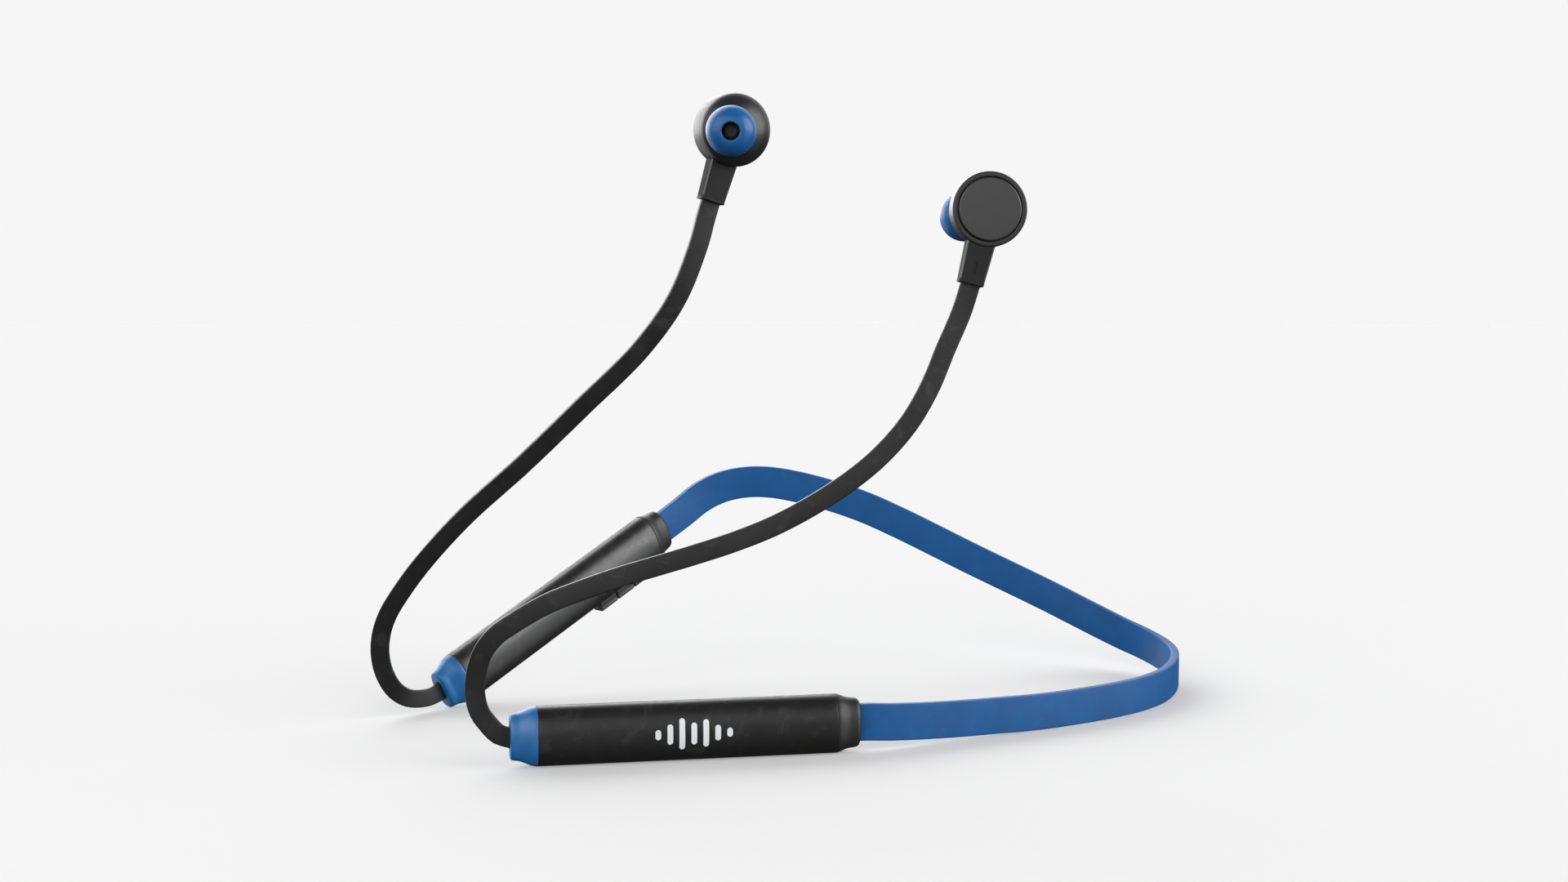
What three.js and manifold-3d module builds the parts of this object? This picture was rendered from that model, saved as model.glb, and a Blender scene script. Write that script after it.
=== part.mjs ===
// Neckband earphones: two slim pods joined by a flat rubber strap, each pod feeding an
// in-ear bud through a flat cable. Millimetres, +Z up, standing on z = 0.
// The left pod lies on the surface, the right pod leans back on its cable boot, and the
// strap rises behind them. Both buds stand above the pods on their cables.
import * as THREE from "three";
import { mergeVertices } from "three/addons/utils/BufferGeometryUtils.js";
import Module from "manifold-3d";

const wasm = await Module();
wasm.setup();

// ---- driving dimensions -------------------------------------------------------------
const GAP = 0.3; // between pieces that touch
const SQUARENESS = 2.3; // exponent of the pods' oval section, 2 is an ellipse

const POD = { length: 76.5, tall: 13, thick: 9, wall: 1.2, bootLength: 5.8, tailLength: 5.4 };
const SPIGOT = { tall: 9.9, thick: 5.9, length: 3.2 }; // plug of a boot inside the casing
const STRAP = { tall: 8.2, thick: 2.1, edge: 0.45 };
const RIBBON = { tall: 1.8, thick: 0.4, channelTall: 2.6, channelThick: 1.0 };
const CABLE = { wide: 4.3, thick: 1.5, edge: 0.35 };
const FLEX_GAP = 0.6; // free strap between two bodies, where it bends

// The battery pod and the control pod: what they hold, placed along X, Y and Z of a pod.
const CELL = { from: 12, to: 57, thick: 5.0, tall: 8.6, round: 2 };
const CELL_BOARD = { from: 58, to: 66, thick: 1.0, tall: 6.8 };
const BOARD = { from: 10, to: 66, thick: 5.4, low: -2, high: -1.2 };
const BUTTON = { from: 49.2, long: 5.7, pitch: 6, wide: 4, foot: -8.4, head: -4.3, slope: 0.5 };
const BUTTON_NAMES = ["volume_down", "play", "volume_up"];
const SWITCH = { long: 3, wide: 2.8, foot: -3.6 };
const PORT = { from: 17.2, to: 26.2, low: -0.9, high: 2.4, back: -2.6, mouth: 2.8, wall: 0.35 };
const TONGUE = { inset: 1.2, tall: 0.7, setBack: 0.8 };
const COVER = { from: 16, to: 27, low: -1.7, high: 3.2, inner: 3.1, outer: 4.4 };
const COVER_PLUG = { inset: 2.6, edge: 1.8, deep: 0.9 };
const COVER_NOTCH = { long: 1.2, deep: 0.5 }; // for a fingernail
const LIGHT = { x: 33, z: 0.7, radius: 0.6, inner: 2.2, outer: 4.4 };
const MICROPHONE = { from: 36.5, to: 39.5, inner: -0.6, outer: 2.2, low: -0.9, high: 0.2 };
const MICROPHONE_HOLE = { x: 38, z: 0.7, radius: 0.6 };

// A bud, along its housing's axis.
const BUD = { radius: 7.95, back: -3.5, front: 0.8, wall: 0.95, rimWide: 1.05, seat: -2.2 };
const CAP = { radius: 6.55, back: -3.8, front: -2.5, edge: 0.35 };
const MAGNET = { radius: 4, back: -2.2, front: -1.2 };
// The nozzle leaves the housing sideways, at a tilt from its axis, and a little towards the stem.
const NOZZLE = { tilt: 0.38, turn: 0.45, shift: 0.95, root: 2.2, radius: 2.1, bore: 1.6, length: 8.7 };
const GRILLE = { radius: 1.3, from: 7.6, to: 8 };
const STEM = { reach: 16.2, topWide: 6.1, footWide: 5.4, topThick: 4.2, footThick: 3.7, y: -1.1 };
const TIP = { radius: 5.4, bore: 1.9, length: 6.6, from: 4.6 };

// ---- where the pods and the buds stand ---------------------------------------------------
const DEG = Math.PI / 180;
// Turned about X by nod, then about Y by lean, then about Z by heading.
const LEFT_POD = { at: [-65.6, -57.3, 6.5], heading: 11.3 * DEG, lean: 0, nod: 0 };
const RIGHT_POD = { at: [-89.5, 1.8, 4.5], heading: 42.7 * DEG, lean: -25.9 * DEG, nod: 0 };
const LEFT_BUD = { at: [36, -52, 118.5], heading: 4 * DEG, lean: 14 * DEG, nod: -3 * DEG, side: -1 };
const RIGHT_BUD = { at: [-18.1, -39, 136], heading: 201.5 * DEG, lean: -17 * DEG, nod: -1 * DEG, side: 1 };
const CENTRE = [0.34, 1.02]; // of the footprint of everything but the cables

// Centre line of the strap, from inside the left tail boot to inside the right one.
const STRAP_ROUTE = [
  [6.5, -42.9, 6.5], [9.4, -42.3, 6.5], [11.4, -41.8, 6.45], [17.5, -39.3, 5.9], [28.6, -33.5, 5.1],
  [40.7, -27, 4.6], [53.3, -19.8, 4.2], [66.2, -11.2, 4.15], [74.6, -4.2, 4.15],
  [80.2, 1.8, 4.2], [85.8, 9.9, 4.4], [89.9, 19.9, 4.9], [91.7, 30, 5.6],
  [90.6, 38.1, 6.5], [86.6, 45.6, 8.1], [81.4, 50.6, 10], [72.8, 55.4, 13.9],
  [63.3, 58.3, 18.5], [43.4, 60.2, 28], [23.6, 61, 37.8], [13.4, 61.4, 42.3],
  [2.3, 61.6, 45.9], [-7.9, 61.5, 48.2], [-13.5, 60.8, 48.8], [-18.9, 59.6, 48.6],
  [-24.3, 57.8, 47.4], [-29.1, 55.6, 45.1], [-33.6, 52.8, 41.7], [-37.6, 49.7, 38.9],
  [-38.9, 48.5, 37.95], [-40.9, 46.6, 36.6],
];
const LEFT_FLEX_AT = 0.247; // share of the strap's length where the left arm bends
const RIGHT_FLEX_AT = 0.852;

// Centre lines of the two flat cables, from the boot up to the bud's stem.
const LEFT_CABLE_ROUTE = [
  [-66, -57.4, 6.5], [-68, -57.8, 7.3], [-70.1, -58.1, 9.6], [-71.8, -58.6, 12.3],
  [-72.6, -59.2, 16.6], [-72, -60, 21.5], [-70.4, -61, 25.8], [-67.7, -61.8, 29.2],
  [-64.4, -62.3, 31.6], [-57, -62.7, 36], [-49.5, -62.8, 39], [-42.1, -62.6, 41.6],
  [-34, -62.3, 44], [-25.9, -62, 46.4], [-17.3, -61.8, 49.2], [-9.1, -61.6, 52.5],
  [-1.3, -61.4, 56.6], [6.6, -61, 61.7], [13.1, -60.2, 67], [19, -59, 73.6],
  [23.5, -57.8, 81.1], [27, -56.2, 89.3], [30.4, -54.6, 97], [32.15, -54.24, 102.47],
];
const RIGHT_CABLE_ROUTE = [
  [-89.76, 1.56, 4.33], [-91.2, 0.2, 3.7], [-93.2, -2.2, 3.5], [-96.2, -5.2, 4.2],
  [-98.8, -8, 6.6], [-100.7, -10.3, 10.8], [-101.4, -12.3, 16], [-100.7, -14, 21.1],
  [-98.8, -16, 25.9], [-96, -18.1, 30.4], [-89.7, -21.9, 38.7], [-79.3, -27, 49.9],
  [-64.8, -32.4, 62.9], [-51.4, -36.7, 75.7], [-38.3, -40.3, 88.5], [-30.4, -41.4, 99.4],
  [-25.6, -40.4, 111.2], [-24.12, -39.81, 116.7], [-23.12, -39.48, 120.15],
];
// The wide face's bearing at even steps along each cable, in degrees from straight ahead.
const LEFT_FACING = [11.3, 2, 0, 0, 4, 6];
const RIGHT_FACING = [42.7, 14, 2, 2, 8, 14, 20, 24, 25, 25, 25, 24, 24, 23, 22, 22, 22];

// ---- colours -----------------------------------------------------------------------------------
const finish = (color, roughness, metalness = 0) => () =>
  new THREE.MeshStandardMaterial({ color, roughness, metalness });
const CASING = finish("#1d1d1e", 0.45);
const BLACK_RUBBER = finish("#202021", 0.6);
const BLUE_RUBBER = finish("#2f66a8", 0.5);
const CABLE_BLACK = finish("#29292a", 0.55);
const BUD_BLACK = finish("#222223", 0.5);
const BOARD_GREEN = finish("#1f5a37", 0.6);
const CELL_SILVER = finish("#a9adb2", 0.4, 0.6);
const METAL = finish("#b8babd", 0.3, 1);
const MESH_METAL = finish("#4c4a45", 0.5, 0.7);
const CLEAR = finish("#e6e8ea", 0.2);
const COPPER = finish("#a8672f", 0.4, 0.8);

// ---- small helpers -----------------------------------------------------------------------------
function mesh(name, geometry, material) {
  const made = new THREE.Mesh(geometry, material());
  made.name = name;
  return made;
}

// A three.js geometry as a manifold-3d solid.
function solid(geometry) {
  const bare = geometry.clone();
  bare.deleteAttribute("normal");
  bare.deleteAttribute("uv");
  const merged = mergeVertices(bare, 1e-4);
  return new wasm.Manifold(
    new wasm.Mesh({
      numProp: 3,
      vertProperties: merged.attributes.position.array,
      triVerts: new Uint32Array(merged.index.array),
    }),
  );
}

// A manifold-3d solid as a three.js geometry.
function geometryOf(body) {
  const { vertProperties, triVerts } = body.getMesh();
  const made = new THREE.BufferGeometry();
  made.setAttribute("position", new THREE.BufferAttribute(vertProperties, 3));
  made.setIndex(new THREE.BufferAttribute(triVerts, 1));
  return made;
}

// A box given by its low and high corners.
function box(low, high) {
  const size = high.map((value, i) => value - low[i]);
  const middle = high.map((value, i) => (value + low[i]) / 2);
  return new THREE.BoxGeometry(...size).translate(...middle);
}

function roundedRectangle(wide, tall, radius) {
  const x = wide / 2;
  const y = tall / 2;
  const shape = new THREE.Shape();
  shape.moveTo(x, -y + radius);
  shape.lineTo(x, y - radius);
  shape.absarc(x - radius, y - radius, radius, 0, Math.PI / 2);
  shape.lineTo(-x + radius, y);
  shape.absarc(-x + radius, y - radius, radius, Math.PI / 2, Math.PI);
  shape.lineTo(-x, -y + radius);
  shape.absarc(-x + radius, -y + radius, radius, Math.PI, 1.5 * Math.PI);
  shape.lineTo(x - radius, -y);
  shape.absarc(x - radius, -y + radius, radius, 1.5 * Math.PI, 2 * Math.PI);
  return shape;
}

// An outline with its four corners cut at 45 degrees.
function bevelledRectangle(wide, tall, edge) {
  const x = wide / 2;
  const y = tall / 2;
  const corners = [
    [x, -y + edge], [x, y - edge], [x - edge, y], [-x + edge, y],
    [-x, y - edge], [-x, -y + edge], [-x + edge, -y], [x - edge, -y],
  ];
  return new THREE.Shape(corners.map(([a, b]) => new THREE.Vector2(a, b)));
}

// The pods' oval section, in the YZ plane: thick along Y and tall along Z.
function oval(thick, tall, count = 28) {
  const power = 2 / SQUARENESS;
  return Array.from({ length: count }, (_, i) => {
    const angle = (2 * Math.PI * i) / count;
    const y = (thick / 2) * Math.sign(Math.cos(angle)) * Math.abs(Math.cos(angle)) ** power;
    const z = (tall / 2) * Math.sign(Math.sin(angle)) * Math.abs(Math.sin(angle)) ** power;
    return [y, z];
  });
}

// A solid through oval sections along X, from stations of [x, thick, tall].
function loft(stations, count = 28) {
  const position = [];
  const index = [];
  for (const [x, thick, tall] of stations) {
    oval(thick, tall, count).forEach(([y, z]) => position.push(x, y, z));
  }
  for (let s = 0; s < stations.length - 1; s++) {
    for (let i = 0; i < count; i++) {
      const a = s * count + i;
      const b = s * count + ((i + 1) % count);
      index.push(a, b, a + count, b, b + count, a + count);
    }
  }
  const last = (stations.length - 1) * count;
  const startHub = position.length / 3;
  position.push(stations[0][0], 0, 0);
  position.push(stations[stations.length - 1][0], 0, 0);
  for (let i = 0; i < count; i++) {
    const next = (i + 1) % count;
    index.push(startHub, next, i);
    index.push(startHub + 1, last + i, last + next);
  }
  const made = new THREE.BufferGeometry();
  made.setAttribute("position", new THREE.Float32BufferAttribute(position, 3));
  made.setIndex(index);
  return made;
}

// A body of revolution about Y, from profile points of [radius, y].
function turned(profile, segments = 28) {
  return new THREE.LatheGeometry(profile.map(([r, y]) => new THREE.Vector2(r, y)), segments);
}

// A stretch of a route that a flat section is swept along. `facing` gives the direction
// of the wide face at each share of the stretch, so that the section never rolls freely.
class FlatPath extends THREE.Curve {
  constructor(route, from, to, facing) {
    super();
    Object.assign(this, { route, from, to, facing });
  }
  getPoint(t, target = new THREE.Vector3()) {
    return target.copy(this.route.getPointAt(THREE.MathUtils.lerp(this.from, this.to, t)));
  }
  computeFrenetFrames(segments) {
    const frames = { tangents: [], normals: [], binormals: [] };
    for (let i = 0; i <= segments; i++) {
      const tangent = this.getTangentAt(i / segments);
      const side = this.facing(i / segments, tangent);
      const binormal = new THREE.Vector3().crossVectors(tangent, side).normalize();
      frames.tangents.push(tangent);
      frames.binormals.push(binormal);
      frames.normals.push(new THREE.Vector3().crossVectors(binormal, tangent));
    }
    return frames;
  }
}

const upright = (_, tangent) => new THREE.Vector3(tangent.y, -tangent.x, 0);

// The wide face looks along a bearing that is interpolated from even stations.
function bearing(stations) {
  return (share) => {
    const place = share * (stations.length - 1);
    const before = Math.min(Math.floor(place), stations.length - 2);
    const angle = THREE.MathUtils.lerp(stations[before], stations[before + 1], place - before) * DEG;
    return new THREE.Vector3(Math.sin(angle), -Math.cos(angle), 0);
  };
}

function curveThrough(points) {
  return new THREE.CatmullRomCurve3(points.map((p) => new THREE.Vector3(...p)), false, "centripetal");
}

function swept(shape, path, steps) {
  return new THREE.ExtrudeGeometry(shape, { extrudePath: path, steps, curveSegments: 2 });
}

function placed({ at, heading, lean, nod }) {
  const group = new THREE.Group();
  group.position.set(...at);
  group.rotation.set(nod, lean, heading, "ZYX");
  return group;
}

// ---- pods --------------------------------------------------------------------------------------
// A pod's own frame has its origin at the centre of the cable boot's end, X along the pod
// towards the strap, Y through its thickness and Z up its height.
const CASING_FROM = POD.bootLength + GAP;
const CASING_TO = POD.length - POD.tailLength - GAP;
const BEYOND = 1; // how far a cutter runs past what it cuts

// Half of the oval tube: side is -1 for the half on -Y and 1 for the half on +Y.
function casingHalf(side, cutters = []) {
  const inner = [POD.thick - 2 * POD.wall, POD.tall - 2 * POD.wall];
  const tube = solid(loft([[CASING_FROM, POD.thick, POD.tall], [CASING_TO, POD.thick, POD.tall]]))
    .subtract(solid(loft([[CASING_FROM - BEYOND, ...inner], [CASING_TO + BEYOND, ...inner]])));
  const low = side < 0 ? -POD.thick : GAP / 2;
  const high = side < 0 ? -GAP / 2 : POD.thick;
  const half = tube.intersect(solid(box([0, low, -POD.tall], [POD.length, high, POD.tall])));
  return geometryOf(cutters.reduce((body, cutter) => body.subtract(solid(cutter)), half));
}

// A boot's outside, with the passage for a flat strip of the given section along its middle.
function boot(stations, thick, tall) {
  const y = thick / 2 + GAP;
  const z = tall / 2 + GAP;
  const from = stations[0][0] - BEYOND;
  const to = stations[stations.length - 1][0] + BEYOND;
  return geometryOf(solid(loft(stations)).subtract(solid(box([from, -y, -z], [to, y, z]))));
}

function cableBoot() {
  const end = POD.bootLength;
  const stations = [
    [0, 5.5, 9.6], [0.5, 6.0, 10.1], [1.8, 6.5, 10.6], [4.5, 8.6, 12.6], [end, POD.thick, POD.tall],
    [end, SPIGOT.thick, SPIGOT.tall], [end + SPIGOT.length, SPIGOT.thick, SPIGOT.tall],
  ];
  return boot(stations, CABLE.thick, CABLE.wide);
}

function tailBoot() {
  const start = POD.length - POD.tailLength;
  const stations = [
    [start - SPIGOT.length, SPIGOT.thick, SPIGOT.tall], [start, SPIGOT.thick, SPIGOT.tall],
    [start, POD.thick, POD.tall], [start + 0.8, 8.8, 12.9], [start + 2.8, 7.4, 11.5],
    [start + 4.5, 6.6, 10.5], [POD.length, 5.6, 9.6],
  ];
  return boot(stations, STRAP.thick, STRAP.tall);
}

// A bar along a pod, from an outline in its YZ plane.
function alongPod(outline, from, to) {
  const bar = new THREE.ExtrudeGeometry(outline, {
    depth: to - from,
    bevelEnabled: false,
    curveSegments: 4,
  });
  return bar.rotateX(Math.PI / 2).rotateZ(Math.PI / 2).translate(from, 0, 0);
}

function batteryCell() {
  return alongPod(roundedRectangle(CELL.thick, CELL.tall, CELL.round), CELL.from, CELL.to);
}

function batteryBoard() {
  const { from, to, thick, tall } = CELL_BOARD;
  return box([from, -thick / 2, -tall / 2], [to, thick / 2, tall / 2]);
}

function leftPod() {
  const pod = placed(LEFT_POD);
  pod.add(
    mesh("left_casing_front", casingHalf(-1), CASING),
    mesh("left_casing_rear", casingHalf(1), CASING),
    mesh("left_cable_boot", cableBoot(), BLUE_RUBBER),
    mesh("left_tail_boot", tailBoot(), BLACK_RUBBER),
    mesh("battery_cell", batteryCell(), CELL_SILVER),
    mesh("battery_board", batteryBoard(), BOARD_GREEN),
  );
  return pod;
}

// The buttons stand out of the right pod's lower edge, and the charging port is on its rear.
function buttonCutter() {
  const { from, pitch, long, wide, head } = BUTTON;
  const last = from + pitch * (BUTTON_NAMES.length - 1) + long;
  const y = wide / 2 + GAP;
  return box([from - GAP, -y, -POD.tall], [last + GAP, y, head + GAP]);
}

function portCutter() {
  const { from, to, low, high } = COVER;
  return box([from - GAP, 0, low - GAP], [to + GAP, POD.thick, high + GAP]);
}

// A round piece or hole that runs out through the rear casing.
function throughRear({ x, z }, radius, inner, outer) {
  return turned([[0, inner], [radius, inner], [radius, outer], [0, outer]], 16).translate(x, 0, z);
}

// A cap with a sloped outer edge at each side, long along X.
function buttonCap(from) {
  const { long, wide, foot, head, slope } = BUTTON;
  const half = wide / 2;
  const corners = [
    [half, head], [-half, head], [-half, foot + slope],
    [-half + slope, foot], [half - slope, foot], [half, foot + slope],
  ];
  const outline = new THREE.Shape(corners.map(([y, z]) => new THREE.Vector2(y, z)));
  return alongPod(outline, from, from + long);
}

// The tact switch above the middle of a cap.
function buttonSwitch(from) {
  const middle = from + BUTTON.long / 2;
  const { long, wide, foot } = SWITCH;
  return box([middle - long / 2, -wide / 2, foot], [middle + long / 2, wide / 2, BOARD.low - GAP]);
}

function mainBoard() {
  const { from, to, thick, low, high } = BOARD;
  return box([from, -thick / 2, low], [to, thick / 2, high]);
}

function chargingSocket() {
  const { from, to, low, high, back, mouth, wall } = PORT;
  const { inset, tall, setBack } = TONGUE;
  const floor = back + wall;
  const middle = (low + high) / 2;
  const shell = solid(box([from, back, low], [to, mouth, high]));
  const hollow = box([from + wall, floor, low + wall], [to - wall, mouth + BEYOND, high - wall]);
  const tongue = box(
    [from + inset, floor - wall / 2, middle - tall / 2],
    [to - inset, mouth - setBack, middle + tall / 2],
  );
  return geometryOf(shell.subtract(solid(hollow)).add(solid(tongue)));
}

function portCover() {
  const { from, to, low, high, inner, outer } = COVER;
  const { inset, edge, deep } = COVER_PLUG;
  const plate = solid(box([from, inner, low], [to, outer, high]));
  const plug = box([from + inset, inner - deep, low + edge], [to - inset, inner + deep / 2, high - edge]);
  const notch = box(
    [to - COVER_NOTCH.long, outer - COVER_NOTCH.deep, low - BEYOND],
    [to + BEYOND, outer + BEYOND, high + BEYOND],
  );
  return geometryOf(plate.add(solid(plug)).subtract(solid(notch)));
}

function microphone() {
  const { from, to, inner, outer, low, high } = MICROPHONE;
  return box([from, inner, low], [to, outer, high]);
}

function rightPod() {
  const pod = placed(RIGHT_POD);
  const lightHole = throughRear(LIGHT, LIGHT.radius + GAP, 0, POD.thick);
  const soundHole = throughRear(MICROPHONE_HOLE, MICROPHONE_HOLE.radius, 0, POD.thick);
  const rearCutters = [buttonCutter(), portCutter(), lightHole, soundHole];
  const lightPipe = throughRear(LIGHT, LIGHT.radius, LIGHT.inner, LIGHT.outer);
  pod.add(
    mesh("right_casing_front", casingHalf(-1, [buttonCutter()]), CASING),
    mesh("right_casing_rear", casingHalf(1, rearCutters), CASING),
    mesh("right_cable_boot", cableBoot(), BLUE_RUBBER),
    mesh("right_tail_boot", tailBoot(), BLACK_RUBBER),
    mesh("main_board", mainBoard(), BOARD_GREEN),
    mesh("charging_socket", chargingSocket(), METAL),
    mesh("port_cover", portCover(), BLACK_RUBBER),
    mesh("status_light_pipe", lightPipe, CLEAR),
    mesh("microphone", microphone(), METAL),
  );
  BUTTON_NAMES.forEach((name, i) => {
    const from = BUTTON.from + i * BUTTON.pitch;
    pod.add(mesh(`${name}_button`, buttonCap(from), BLACK_RUBBER));
    pod.add(mesh(`${name}_switch`, buttonSwitch(from), METAL));
  });
  return pod;
}

// ---- strap -------------------------------------------------------------------------------------
function strapPieces() {
  const route = curveThrough(STRAP_ROUTE);
  const length = route.getLength();
  const bend = FLEX_GAP / 2 / length;
  const stretches = [
    { name: "left", from: 0, to: LEFT_FLEX_AT - bend, steps: 12 },
    { name: "back", from: LEFT_FLEX_AT + bend, to: RIGHT_FLEX_AT - bend, steps: 40 },
    { name: "right", from: RIGHT_FLEX_AT + bend, to: 1, steps: 10 },
  ];
  const outline = bevelledRectangle(STRAP.thick, STRAP.tall, STRAP.edge);
  const channel = bevelledRectangle(RIBBON.channelThick, RIBBON.channelTall, 0.1);
  outline.holes.push(new THREE.Path(channel.getPoints().reverse()));
  const core = bevelledRectangle(RIBBON.thick, RIBBON.tall, 0.05);
  return stretches.flatMap(({ name, from, to, steps }) => {
    const path = new FlatPath(route, from, to, upright);
    return [
      mesh(`strap_${name}`, swept(outline, path, steps), BLUE_RUBBER),
      mesh(`signal_ribbon_${name}`, swept(core, path, steps), COPPER),
    ];
  });
}

// ---- cables ------------------------------------------------------------------------------------
function cable(name, points, facing, steps) {
  const path = new FlatPath(curveThrough(points), 0, 1, bearing(facing));
  const section = bevelledRectangle(CABLE.thick, CABLE.wide, CABLE.edge);
  return mesh(name, swept(section, path, steps), CABLE_BLACK);
}

// ---- buds --------------------------------------------------------------------------------------
// A bud's own frame has its origin on the axis of its housing, Y along that axis towards
// the ear and Z up, away from the stem.
function nozzleFrame(geometry, side) {
  geometry.rotateZ(-side * NOZZLE.tilt).translate(side * NOZZLE.shift, NOZZLE.root, 0);
  return geometry.rotateY(side * NOZZLE.turn);
}

// A ring with a lip inside, on which the cap is seated.
function budHousing() {
  const { radius, back, front, wall, rimWide, seat } = BUD;
  const inside = radius - rimWide;
  const bevel = 0.35;
  const lip = { radius: 5.4, front: -1.5 };
  return turned([
    [inside, back], [radius - bevel, back], [radius, back + bevel], [radius, front],
    [radius - wall, front], [radius - wall, lip.front], [lip.radius, lip.front],
    [lip.radius, seat], [inside, seat], [inside, back],
  ]);
}

function budCap() {
  const { radius, back, front, edge } = CAP;
  return turned([[0, back], [radius - edge, back], [radius, back + edge], [radius, front], [0, front]]);
}

function budMagnet() {
  const { radius, back, front } = MAGNET;
  return turned([[0, back], [radius, back], [radius, front], [0, front]], 20);
}

// The dome in front of the driver, with the spout for the ear tip and its end bead.
function budNozzleShell(side) {
  const from = BUD.front + GAP;
  const { radius, bore, length } = NOZZLE;
  const dome = turned([
    [0, from], [BUD.radius, from], [BUD.radius, 1.7], [7.4, 3.0], [6.2, 4.4], [4.7, 5.5],
    [2.8, 6.2], [0, 6.4],
  ]);
  const cavity = turned([[0, 0.5], [7, 0.5], [7, 1.7], [6.4, 2.8], [5.4, 3.8], [4, 4.6], [0, 5.0]]);
  const bead = radius + 0.25;
  const spout = turned([
    [0, 0], [3.2, 2.6], [2.2, 4.6], [radius, length - 1.1], [bead, length - 0.9],
    [bead, length - 0.3], [radius, length], [0, length],
  ], 20);
  const hole = turned([[0, 1.5], [bore, 1.5], [bore, length + BEYOND], [0, length + BEYOND]], 16);
  const shell = solid(dome).add(solid(nozzleFrame(spout, side))).subtract(solid(cavity));
  return geometryOf(shell.subtract(solid(nozzleFrame(hole, side))));
}

function nozzleGrille(side) {
  const { radius, from, to } = GRILLE;
  return nozzleFrame(turned([[0, from], [radius, from], [radius, to], [0, to]], 16), side);
}

// A mushroom of silicone: a sleeve on the nozzle and a thin dome that folds back over it.
function earTip(side) {
  const { radius, bore, length } = TIP;
  const tip = turned([
    [bore, length - 0.15], [bore, 4.9], [2.65, 4.6], [2.65, 0.5], [3.2, 0.5], [3.25, 4.9], [3.8, 4.7],
    [4.4, 3.9], [4.75, 2.7], [4.75, 1.2], [4.5, 0], [5.05, 0], [5.35, 1.2], [radius, 2.7],
    [5.1, length - 2.3], [4.4, length - 1.05], [3.3, length - 0.25], [bore + 0.5, length],
    [bore, length - 0.15],
  ]);
  return nozzleFrame(tip.translate(0, TIP.from, 0), side);
}

// A dynamic driver: the magnet's pot behind and the domed diaphragm in front.
function driver() {
  return turned([
    [0, -0.9], [4.2, -0.9], [4.2, 0], [6.3, 0.2], [6.3, 1.5], [5.6, 1.5], [4.4, 1.1], [2.2, 1.9], [0, 2.1],
  ]);
}

function stem() {
  const { reach, topWide, footWide, topThick, footThick, y } = STEM;
  const top = -BUD.radius + 2; // inside the housing, before the seat is cut
  const outline = bevelledRectangle(1, 1, 0.18);
  const block = new THREE.ExtrudeGeometry(outline, { depth: 1, bevelEnabled: false, steps: 1 });
  const at = block.getAttribute("position");
  for (let i = 0; i < at.count; i++) {
    const share = at.getZ(i);
    const wide = THREE.MathUtils.lerp(footWide, topWide, share);
    const thick = THREE.MathUtils.lerp(footThick, topThick, share);
    at.setXYZ(i, at.getX(i) * wide, at.getY(i) * thick + y, THREE.MathUtils.lerp(-reach, top, share));
  }
  const seatRadius = BUD.radius + GAP;
  const seat = turned([[0, -6], [seatRadius, -6], [seatRadius, 6], [0, 6]], 48);
  const half = [CABLE.wide / 2 + 0.15, CABLE.thick / 2 + 0.15];
  const passage = box([-half[0], y - half[1], -reach - BEYOND], [half[0], y + half[1], 0]);
  return geometryOf(solid(block).subtract(solid(seat)).subtract(solid(passage)));
}

function bud(name, where) {
  const group = placed(where);
  group.add(
    mesh(`${name}_bud_cap`, budCap(), BUD_BLACK),
    mesh(`${name}_bud_housing`, budHousing(), BUD_BLACK),
    mesh(`${name}_bud_nozzle_shell`, budNozzleShell(where.side), BUD_BLACK),
    mesh(`${name}_bud_magnet`, budMagnet(), METAL),
    mesh(`${name}_bud_driver`, driver(), METAL),
    mesh(`${name}_bud_mesh`, nozzleGrille(where.side), MESH_METAL),
    mesh(`${name}_bud_stem`, stem(), BUD_BLACK),
    mesh(`${name}_ear_tip`, earTip(where.side), BLUE_RUBBER),
  );
  return group;
}

// ---- the earphones -----------------------------------------------------------------------------
const standing = new THREE.Group();
standing.position.set(-CENTRE[0], -CENTRE[1], 0);
standing.add(
  leftPod(),
  rightPod(),
  ...strapPieces(),
  cable("left_cable", LEFT_CABLE_ROUTE, LEFT_FACING, 44),
  cable("right_cable", RIGHT_CABLE_ROUTE, RIGHT_FACING, 40),
  bud("left", LEFT_BUD),
  bud("right", RIGHT_BUD),
);
const earphones = new THREE.Group().add(standing);

export default earphones;
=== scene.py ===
import math

import bmesh
import bpy
from mathutils import Matrix, Vector


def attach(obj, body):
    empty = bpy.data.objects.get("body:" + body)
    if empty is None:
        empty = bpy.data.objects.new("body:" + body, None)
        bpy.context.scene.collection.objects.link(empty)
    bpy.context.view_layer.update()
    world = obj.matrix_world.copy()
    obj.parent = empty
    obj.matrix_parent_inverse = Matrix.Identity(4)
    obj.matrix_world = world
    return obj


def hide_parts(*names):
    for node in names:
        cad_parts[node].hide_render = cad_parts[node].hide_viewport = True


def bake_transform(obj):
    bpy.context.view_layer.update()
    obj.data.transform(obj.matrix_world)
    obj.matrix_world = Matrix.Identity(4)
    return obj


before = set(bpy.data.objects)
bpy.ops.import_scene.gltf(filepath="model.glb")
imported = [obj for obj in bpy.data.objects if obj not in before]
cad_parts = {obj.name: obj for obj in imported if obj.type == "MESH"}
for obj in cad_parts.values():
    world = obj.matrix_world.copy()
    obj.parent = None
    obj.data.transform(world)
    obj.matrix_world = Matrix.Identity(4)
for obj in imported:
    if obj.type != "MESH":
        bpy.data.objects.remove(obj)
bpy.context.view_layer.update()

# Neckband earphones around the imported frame. Sizes here are in millimetres, as in part.mjs,
# and become metres where a mesh is made.
MM = 0.001
DEG = math.pi / 180

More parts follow.
